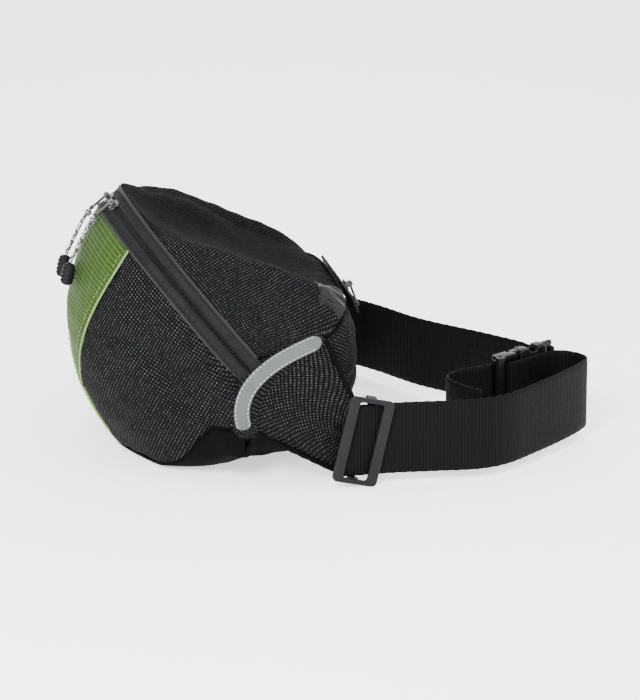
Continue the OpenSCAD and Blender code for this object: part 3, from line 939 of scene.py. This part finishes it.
def slider(name, put):
    """Body with two plates and a bridge for the pin: x outward, y along the zipper, z its axis."""
    def plate(p):
        return put(p[:, [2, 0, 1]])
    outline = np.array([[-4.5, -2.3], [-2.5, -3.4], [2.0, -3.5], [4.5, -2.6], [4.9, -1.0], [3.4, 0],
                        [4.9, 1.0], [4.5, 2.6], [2.0, 3.5], [-2.5, 3.4], [-4.5, 2.3]])
    closed = respaced(np.vstack([outline, outline[:1]]), 0.8)[0][:-1]
    parts = [prism(closed, 0.75, 2.3, 0.5, plate)]
    for s in (-1, 1):
        y = s * 2.45
        parts.append(box(2.0, 5.4, y - 0.6, y + 0.6, -1.2, 1.2, put, 0.3, 0.5))
        parts.append(rod((1.6, -3.6, s * 3.1), (1.6, 3.6, s * 3.1), 0.5, put, 10))
    parts.append(rod((PIN_LIFT, -2.9, 0), (PIN_LIFT, 2.9, 0), 0.8, put, 16))
    return joined(name, parts)


def tab(name, put, length):
    """Pull tab: an eye round the pin, a bar with a waist, and a hole at its end."""
    h = TAB_W / 2

    def lay(p):
        return put(np.stack([p[:, 2], p[:, 0], -p[:, 1]], 1))
    eye = []
    for r, y in ((2.0, -h + 0.25), (1.8, -h), (0.95, -h), (0.9, -h + 0.2), (0.9, h - 0.2), (0.95, h),
                 (1.8, h), (2.0, h - 0.25), (2.0, -h + 0.25)):
        b = np.linspace(0, 360, 25)[:-1]
        eye.append(np.stack([r * cosd(b), np.full(24, y), r * sind(b)], 1))
    eye = np.array(eye)
    parts = [link("part", put(eye.reshape(-1, 3)), quads(len(eye), 24, wrap_v=True))]
    y = np.linspace(1.5, length, 26)
    half = h * (1 - 0.25 * bell(y, length * 0.45, 3.0)) * np.sqrt(np.clip((length - y) / 1.4, 0.02, 1))
    loop = np.vstack([np.stack([half, y], 1), np.stack([-half[::-1], y[::-1]], 1)])
    parts.append(prism(loop, -0.7, 0.7, 0.22, lay))
    b = np.linspace(0, 360, 21)[:-1]
    ring = np.stack([1.1 * cosd(b), 0 * b, 1.1 * sind(b) + 2.2 - length], 1)
    parts.append(tube("part", put(ring), 0.32, 8, closed=True))
    return joined(name, parts)


for sign, where in ((1, "near"), (-1, "far")):
    a = sign * SLIDER_ANGLE
    dress(slider("slider_" + where, mouth_frame(a, ZIP_R)), "slider_metal", "slider_" + where,
           "zipper_slider_" + where)
    dress(tab("tab_" + where, mouth_frame(a, ZIP_R + PIN_LIFT), 15.0), "slider_metal",
           "pull_" + where, "pull_tab_" + where)


# ---------- pull cords, knots and grips ----------
CORD_XZ = np.array([[-76.6, 159.2], [-79, 155.5], [-81.5, 151], [-84, 146], [-86.5, 141], [-89, 136],
                    [-91.5, 131]])
CORD_Y, CORD_R = 9.2, 1.3


def grip(name, put):
    """A moulded grip with five soft ribs, along local -z from its neck."""
    t = np.linspace(0, 1, 90)
    r = 4.55 * np.power(np.clip(1 - np.abs(2 * t - 1) ** 5.0, 0, 1), 0.45)
    r = np.maximum(r, 1.4) - 0.55 * (0.5 + 0.5 * np.cos(t * 2 * np.pi * 5.5)) * (r > 3.8)
    b = np.linspace(0, 360, 49)[:-1]
    p = np.stack([r[:, None] * cosd(b), r[:, None] * sind(b) * 0.94, -0.8 - 15 * t[:, None] + 0 * b], -1)
    faces = quads(len(t), 48, wrap_v=True)
    faces += [list(range(48))[::-1], [(len(t) - 1) * 48 + k for k in range(48)]]
    uv = np.stack([t[:, None] + 0 * b, 0 * t[:, None] + b / 60], -1)
    return link(name, put(p.reshape(-1, 3)), faces, uv)


def knot(name, at, along):
    """Three tight turns of the same cord."""
    along = unit(along)
    side = unit(np.cross(along, [0, 1, 0.2]))
    other = np.cross(along, side)
    parts = []
    for k, (lift, r, tip) in enumerate(((-1.4, 1.25, 0.4), (0.2, 1.55, -0.35), (1.7, 1.2, 0.3))):
        b = np.radians(np.linspace(0, 360, 29)[:-1])[:, None]
        line = at + along * (lift + tip * np.cos(b + k)) + r * (np.cos(b) * side + np.sin(b) * other)
        parts.append(tube("part", line, 0.85, 10, closed=True))
    return joined(name, parts)


for sign, where in ((-1, "near"), (1, "far")):
    route = np.stack([CORD_XZ[:, 0], np.full(7, sign * CORD_Y), CORD_XZ[:, 1]], 1)
    line, _ = respaced(spline(route, 10), 0.5)
    cord = tube("cord_" + where, line, CORD_R * (1 + 0.04 * np.sin(np.arange(len(line)) * 1.9)), 14)
    dress(cord, "fleck_cord", "pull_" + where, "pull_cord_" + where)
    end = route[-1]
    lean = frame_of(end, np.array([cosd(12), 0, -sind(12)]), np.array([0, 1.0, 0]),
                    np.array([sind(12), 0, cosd(12)]))
    handle = dress(grip("grip_" + where, lean), "grip_rubber", "pull_" + where, "pull_grip_" + where)
    tie = dress(knot("knot_" + where, route[0] + [0.3, 0, -0.6], route[1] - route[0]), "fleck_cord",
                "pull_" + where)


# ---------- wings ----------
WING_ON = 1.07                  # the wing runs on a little behind the tri-glide


def build_wing(where, node, mirrored, seed):
    """A padded wing: full in its middle, gathered to the belt at its tip."""
    nu, ns = 70, 80
    u = np.linspace(0.0, 1.0, nu)[:, None] + np.zeros((1, ns))
    s = np.linspace(0.0, 1.0, ns)[None, :] + np.zeros((nu, 1))
    p = wing_at(u * WING_ON, s)
    n = grid_normals(p)
    raised = cushion(p, 2.4, 6.0)[0]
    r = np.random.default_rng(seed)
    gather = 0 * u
    for k in range(4):
        gather = gather + np.sin(s * (14 + 9 * k) + r.uniform(0, 6.28) + 2.2 * u * (k - 1.5))
    relief = (raised - 1.0 + 0.75 * gather / 2 * smooth01((u - 0.35) / 0.65)
              + 0.5 * ripple(u, s * 180, seed + 1)
              - 1.3 * bell(u - 0.25 * s, 0.45, 0.06) * bell(s, 0.35, 0.25))
    outer = p + n * relief[..., None]
    back = p - n * (1.6 + 0.8 * raised + 0.25 * gather * u)[..., None]
    obj = dress(shell("wing_" + where, *sided(mirrored, outer, back)), "fleck_mesh", node=node)
    # Binding round its free edges
    t = np.linspace(0, 1, 90)
    rim = np.vstack([wing_at(t * WING_ON, 0 * t), wing_at(0 * t[1:] + WING_ON, t[1:]),
                     wing_at(WING_ON - WING_ON * t[1:], 0 * t[1:] + 1)])
    rim = respaced(rim, 1.0)[0]
    rim = rim - [0, 0.6, 0]
    if mirrored:
        rim = rim * MIRROR
    wob = 1.35 + 0.12 * np.sin(np.arange(len(rim)) * 0.8)
    dress(tube("binding_" + where, rim, wob, 10, squash=1.25), "plain_fabric")


build_wing("near", "wing_near", False, 61)
build_wing("far", "wing_far", True, 66)


# ---------- reflective strips ----------
STRIP_OUT = unit([-0.35, -1, 0.15])
STRIP_W, STRIP_END = 10.0, 0.985


def root_frame(s):
    """Points of the wing's root with the direction across it, and a place for a second grid way."""
    root = root_at(s)
    across = unit(np.cross(unit(np.gradient(root, axis=0)), STRIP_OUT))
    return root[:, None], across[:, None]


def build_gusset(where, mirrored):
    """The turned-in edges of side, lid and wing under the strip, as one soft band."""
    s = np.linspace(-0.10, 1.03, 120)
    root, across = root_frame(s)
    t = np.linspace(-1, 1, 25)[None, :, None]
    lift = (5.6 - 2.8 * np.clip(s, 0, 1))[:, None, None] + 0.2
    ends = np.clip(np.minimum(s + 0.10, 1.03 - s) / 0.06, 0, 1)[:, None, None]
    wide = 11 + 5 * (t < 0) * bell(s, 0.45, 0.25)[:, None, None]
    outer = root + wide * t * across
    outer = outer + STRIP_OUT * (lift * (1 - np.abs(t) ** 2.5) * (0.3 + 0.7 * ends) - 2.4 * np.abs(t) ** 3)
    inner = outer - STRIP_OUT * 1.6
    dress(shell("gusset_" + where, *sided(mirrored, outer, inner)), "fleck_mesh")


def build_strip(where, node, mirrored):
    s = np.linspace(0, STRIP_END, 120)
    root, across = root_frame(s)
    t = np.linspace(-1, 1, 21)[None, :, None]
    to_end = np.minimum(s, STRIP_END - s)
    round_end = np.sqrt(np.clip(1 - np.clip(1 - to_end / 0.05, 0, 1) ** 2, 0.08, 1))
    lift = (5.6 - 2.8 * s / 0.9)[:, None, None]
    mid = root + lift * STRIP_OUT + STRIP_W / 2 * t * round_end[:, None, None] * across
    end = np.minimum(1, to_end[:, None, None] / 0.03)
    swellup = 0.9 + 0.35 * (1 - t ** 6) * end - 0.35 * bell(np.abs(t), 0.78, 0.07) + 0.12 * np.sin(
        s * 60)[:, None, None] * (1 - t * t)
    outer = mid + STRIP_OUT * swellup
    inner = mid - STRIP_OUT * 0.6
    dress(shell("strip_" + where, *sided(mirrored, outer, inner)), "reflective_tape", node=node)
    for k, column in enumerate((2, 18)):
        row = outer[:, column]
        normal = np.broadcast_to(STRIP_OUT, row.shape)
        if mirrored:
            row, normal = row * MIRROR, normal * MIRROR
        dress(stitches("stitch_strip_%s_%d" % (where, k), row[2:-2], normal[2:-2], 2.0, 1.1, 0.26),
              "grey_thread")
    build_gusset(where, mirrored)


build_strip("near", "reflective_strip_near", False)
build_strip("far", "reflective_strip_far", True)


# ---------- webbing ----------
WEB_W, WEB_T, BELT_Z = 48.0, 1.6, 6.5
WEB_Z = BELT_Z + WEB_W / 2
RIB, RIB_HIGH = 2.3, 0.24      # the webbing's cross ribs
BUCKLE_X, BUCKLE_Y, BUCKLE_TURN = 184.0, -45.0, 30.0


def by_buckle(points):
    p = np.array(points, float)
    return np.stack([BUCKLE_X + p[:, 0] * cosd(BUCKLE_TURN) - p[:, 1] * sind(BUCKLE_TURN),
                     BUCKLE_Y + p[:, 0] * sind(BUCKLE_TURN) + p[:, 1] * cosd(BUCKLE_TURN)], 1)


NEAR_ROUTE = np.vstack([[[60, -112], [82, -112], [104, -112], [129, -114], [157, -116], [178, -110],
                         [202, -92], [223, -74], [243, -54], [248, -43], [240, -31], [228, -28.5]],
                        by_buckle([[20, -7.5], [12, -7], [5.5, -1.1], [-3, -1.1]]),
                        [[172, -51], [158, -55], [148, -66], [152, -83], [163, -98]]])
FAR_ROUTE = np.vstack([by_buckle([[50.9, -3], [52, -3.2], [54.3, -2.3], [55.2, 0], [54.3, 2.3], [52, 3.2],
                                  [49, 5], [45, 8]]),
                       [[213, -4], [193, 21], [160, 58], [138, 95], [124, 114], [106, 123], [86, 120],
                        [60, 112]]])


def strap(name, route, first, last, seed, cut):
    """Webbing on its edge: cross ribs on both faces, rounded selvedges, a slight wave.

    cut is the place in x of a slanted start at the wing, and how far it leans with height.
    """
    per = 24
    line = spline(route, per)[first * per:last * per + 1]
    line, at = respaced(line, RIB / 6)
    t = unit(np.gradient(line, axis=0))
    n = np.stack([-t[:, 1], t[:, 0]], 1)
    half = WEB_W / 2
    zs = np.concatenate([[-1.0], np.linspace(-0.985, 0.985, 16), [1.0]]) * half
    thin = np.concatenate([[0.35], [0.8], np.ones(14), [0.8], [0.35]])
    ribs = RIB_HIGH * (np.abs(np.sin(np.pi * at / RIB)) - 0.6)
    r = np.random.default_rng(seed)
    wave = 0.35 * np.sin(at / 21 + r.uniform(0, 6.28)) + 0.2 * np.sin(at / 9 + r.uniform(0, 6.28))
    ends = np.clip(np.minimum(at, at[-1] - at) / 12, 0, 1)
    loops = []
    for face in (1, -1):
        order = range(len(zs)) if face > 0 else range(len(zs) - 1, -1, -1)
        for k in order:
            inside = 1.0 if 1 < k < len(zs) - 2 else 0.35
            off = face * (WEB_T / 2 * thin[k] + ribs * inside)
            off = off + 0.3 * wave * ends * (zs[k] / half) ** 2
            z = WEB_Z + zs[k] + 0.12 * np.sin(at * 0.9 + face) * (abs(zs[k]) == half)
            loops.append(np.stack([line[:, 0] + n[:, 0] * off, line[:, 1] + n[:, 1] * off,
                                   np.full(len(at), 0.0) + z], 1))
    p = np.stack(loops, 1)
    if cut is not None:
        first_x = cut[0] + (p[..., 2] - BELT_Z) * cut[1]
        p[..., 0] = np.where(p[..., 1] < -100, np.maximum(p[..., 0], first_x), p[..., 0])
    m = p.shape[1]
    faces = quads(len(line), m, wrap_v=True)
    faces += [list(range(m))[::-1], [(len(line) - 1) * m + k for k in range(m)]]
    zz = p[..., 2] / 10
    uv = np.stack([np.broadcast_to(at[:, None] / 10, zz.shape), zz], -1)
    return link(name, p, faces, uv), line


def belt(name, route, first, last, nodes, seed, body="root", cut=None):
    obj, line = strap(name, route, first, last, seed, cut)
    dress(obj, "webbing", body)
    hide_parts(*nodes)
    return obj, line


belt("belt_front", NEAR_ROUTE, 0, 10, ["belt_near", "belt_bend", "belt_end"], 71,
     cut=(65.5, 0.21))
belt("belt_behind", FAR_ROUTE, 0, 15, ["belt_far", "belt_far_end"], 72)
tail, tail_line = belt("belt_tail", NEAR_ROUTE, 10, 20, ["belt_return", "belt_threaded"], 73, body=None)
blend_end = by_buckle([[12, -7]])[0]
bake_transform(tail)


# ---------- tri-glide ----------
GLIDE_X, GLIDE_W, GLIDE_WALL, BAR_W, BAR_T, GLIDE_TILT = 81.0, 30.0, 3.3, 7.0, 3.6, 13.0
GLIDE_Y = -112.0                # the middle of the near webbing


def glide_put(p):
    """Local z is the front of the glide, toward -y; the glide leans with its top to +x."""
    x, y, z = np.asarray(p, float).T
    return np.stack([GLIDE_X + x * cosd(GLIDE_TILT) + y * sind(GLIDE_TILT), GLIDE_Y - z,
                     WEB_Z - x * sind(GLIDE_TILT) + y * cosd(GLIDE_TILT)], 1)


def build_glide():
    h = WEB_W + 4 + 2 * GLIDE_WALL
    front = WEB_T / 2 + 0.5
    outer = rounded_rect(GLIDE_W, h, 3.6, 9)
    inner = rounded_rect(GLIDE_W - 2 * BAR_W, WEB_W + 4, 1.6, 9)
    outer = np.vstack([outer[9:], outer[:9]])
    inner = np.vstack([inner[9:], inner[:9]])
    parts = [ring_prism(outer, inner, front, front + BAR_T, 1.1, glide_put)]
    for s in (-1, 1):
        y = s * (h - GLIDE_WALL) / 2
        parts.append(box(-BAR_W / 2, BAR_W / 2, y - GLIDE_WALL / 2, y + GLIDE_WALL / 2,
                         -front - 3, front + 0.6, glide_put, 0.7, 0.9))
    parts.append(rod((0, -h / 2 + 0.3, -front - 1.6), (0, h / 2 - 0.3, -front - 1.6), 1.6, glide_put))
    return joined("triglide_shaped", parts)


dress(build_glide(), "glide_plastic", "glide", "triglide")


# ---------- side-release buckle ----------
BUCKLE_H = 57.0


def buckle_put(p):
    p = np.asarray(p, float)
    xy = by_buckle(p[:, :2])
    return np.hstack([xy, WEB_Z + p[:, 2:3]])


def upright(p):
    """Outline in x and z, raised along the buckle's own y."""
    p = np.asarray(p, float)
    return buckle_put(np.stack([p[:, 0], -p[:, 2], p[:, 1]], 1))


def plate_outline():
    """The female half's face: broad at the mouth, with a notch over each prong."""
    half = [[22.3, 27.2], [23.6, 28.5], [29.2, 28.5], [30.4, 26.2], [32, 25.1], [36.2, 25.1], [37.8, 26.2],
            [39, 28.3], [45.0, 28.3], [46, 27.2]]
    up = np.array(half)
    loop = np.vstack([up, up[::-1] * [1, -1]])
    return respaced(np.vstack([loop, loop[:1]]), 1.1)[0][:-1][::-1]


def build_buckle_female():
    h = BUCKLE_H / 2
    parts = [prism(plate_outline(), 3.1, 4.5, 0.6, upright),
             prism(plate_outline(), -4.5, -3.1, 0.6, upright)]
    for s in (-1, 1):
        lo, hi = sorted((s * 24.6, s * h))
        for x0, x1 in ((22.5, 30), (38, 45.8)):
            parts.append(box(x0, x1, -3.3, 3.3, lo, hi, buckle_put, 0.8, 1.0))
        lo, hi = sorted((s * 25.2, s * h))
        parts.append(box(45.5, 53.5, -2, 2, lo, hi, buckle_put, 0.6, 1.2))
    parts.append(box(44, 45.9, -3.3, 3.3, -24.8, 24.8, buckle_put, 0.3, 0.4))
    parts.append(rod((52, 0, -h), (52, 0, h), 1.8, buckle_put))
    for z in (-9, -3, 3, 9):
        parts.append(box(25, 29, -4.75, -4.3, z - 0.5, z + 0.5, buckle_put, 0.2, 0.3))
    return joined("buckle_female_shaped", parts)


def build_buckle_male():
    h = BUCKLE_H / 2
    parts = [rod((2, -5.4, -h), (2, -5.4, h), 3.2, buckle_put, 32),
             rod((14, 0.6, -h), (14, 0.6, h), 2, buckle_put, 24)]
    for x0, x1, y0, y1, z0, z1, bevel, corner in (
            (0.5, 17, -6.2, 2.6, -h, -25.2, 0.8, 2.2), (0.5, 17, -6.2, 2.6, 25.2, h, 0.8, 2.2),
            (16.5, 21.9, -2.6, 2.6, -h, h, 0.8, 0.8), (21.3, 41, -2.4, 2.4, -8, 8, 1.2, 1.4),
            (24, 38, -2.6, 2.6, -1.2, 1.2, 0.4, 0.5)):
        parts.append(box(x0, x1, y0, y1, z0, z1, buckle_put, bevel, corner))
    return joined("buckle_male_shaped", parts)


def build_prong(name, s):
    def put(p):
        p = np.asarray(p, float)
        return buckle_put(p * [1, 1, s])
    parts = [rod((24.3, -2.4, 16), (24.3, 2.4, 16), 2, put),
             box(24.3, 34, -2.4, 2.4, 14, 18, put, 0.6, 0.8),
             box(31, 36.5, -2.4, 2.4, 14, 24.3, put, 0.8, 1.4)]
    for x in (32.4, 33.9, 35.4):
        parts.append(rod((x, -2.0, 24.05), (x, 2.0, 24.05), 0.35, put, 10))
    return joined(name, parts)


dress(build_buckle_female(), "buckle_plastic", node="buckle_female")
dress(build_buckle_male(), "buckle_plastic", "male", "buckle_male")
dress(build_prong("prong_upper_shaped", 1), "buckle_plastic", "prong_up", "buckle_prong_upper")
dress(build_prong("prong_lower_shaped", -1), "buckle_plastic", "prong_low", "buckle_prong_lower")


# ---------- back pocket zipper ----------
POCKET_AT = np.array([90.4, 0, 101.5])
POCKET_LEAN, POCKET_START = -20.0, -6.0
POCKET_X = np.array([cosd(POCKET_LEAN), 0, -sind(POCKET_LEAN)])
POCKET_Z = np.array([sind(POCKET_LEAN), 0, cosd(POCKET_LEAN)])


def pocket_frame(y, x=0.0):
    return frame_of(POCKET_AT + np.array([0, y, 0]) + x * POCKET_X, POCKET_X, np.array([0, 1.0, 0]), POCKET_Z)


def build_pocket():
    put = pocket_frame(0)
    y = np.linspace(-48, 48, 200)[:, None]
    t = np.linspace(-1, 1, 31)[None, :]
    lip = 0.35 * bell(np.abs(t), 0.22, 0.08) + 0.3 * bell(np.abs(t), 0.9, 0.1) + 0.1 * np.sin(y * 0.5 + 3 * t)
    outer = np.stack(np.broadcast_arrays(0.5 + lip, y, 6 * t), -1)
    inner = np.stack(np.broadcast_arrays(-0.9 + 0 * t, y, 6 * t), -1)
    tape = shell("part", *[put(g.reshape(-1, 3)).reshape(g.shape) for g in (outer, inner)])
    k = np.arange(76 * 8 + 1) / 8
    coil = []
    for s in (-1, 1):
        line = np.stack([0.8 + 0.45 * np.sin(TURN * k), -48 + 96 * k / 76,
                         s * 0.8 + 0.7 * np.cos(TURN * k)], 1)
        coil.append(tube("part", put(line), 0.25, 5))
    obj = joined("pocket_zipper_shaped", [tape])
    dress(obj, "zipper_tape", "root", "pocket_zipper")
    dress(joined("pocket_coil", coil), "zipper_coil")
    for s in (-1, 1):
        row = put(np.stack([np.full(97, 0.75), np.linspace(-48, 48, 97), np.full(97, s * 4.2)], 1))
        dress(stitches("stitch_pocket_%d" % (s + 1), row, np.broadcast_to(POCKET_X, row.shape)),
              "black_thread")


build_pocket()
dress(slider("pocket_slider_shaped", pocket_frame(POCKET_START, 1.1)), "slider_metal",
       "pocket_runner", "pocket_slider")
dress(tab("pocket_pull_shaped", pocket_frame(POCKET_START, 1.1 + PIN_LIFT), 17.0), "slider_metal",
       "pocket_tab", "pocket_pull")


# ---------- held inside: the rope's turns and the foam core keep their CAD shape ----------
for node, material in (("rope", "rope"), ("float_core", "foam")):
    obj = bpy.data.objects[node]
    obj.data.materials.clear()
    obj.data.materials.append(MATS[material])


# ---------- studio ----------
def lamp(name, place, target, size, power):
    data = bpy.data.lights.new(name, "AREA")
    data.shape = "DISK"
    data.size = size
    data.energy = power
    obj = bpy.data.objects.new(name, data)
    bpy.context.scene.collection.objects.link(obj)
    obj.location = place
    obj.rotation_euler = (Vector(target) - Vector(place)).to_track_quat("-Z", "Y").to_euler()


lamp("key", (-0.55, -1.0, 0.85), (0.05, 0, 0.05), 0.55, 34)
lamp("fill", (0.95, -0.75, 0.7), (0.1, 0, 0.05), 0.8, 10)
lamp("rim", (0.2, 0.9, 0.9), (0.1, 0, 0.1), 0.7, 5)

world = bpy.data.worlds.new("studio")
world.use_nodes = True
sky = world.node_tree.nodes["Background"]
sky.inputs[0].default_value = (1, 1, 1, 1)
sky.inputs[1].default_value = 2.1
bpy.context.scene.world = world

floor_mesh = bpy.data.meshes.new("floor")
floor_corners = [(x, y, -0.0004) for x, y in ((-4, -4), (4, -4), (4, 4), (-4, 4))]
floor_mesh.from_pydata(floor_corners, [], [[0, 1, 2, 3]])
floor = bpy.data.objects.new("floor", floor_mesh)
bpy.context.scene.collection.objects.link(floor)
paper = bpy.data.materials.new("paper")
paper.use_nodes = True
for key, value in (("Base Color", (0.9, 0.9, 0.9, 1)), ("Roughness", 0.95),
                   ("Emission Color", (1, 1, 1, 1)), ("Emission Strength", 1.0)):
    paper.node_tree.nodes["Principled BSDF"].inputs[key].default_value = value
floor_mesh.materials.append(paper)
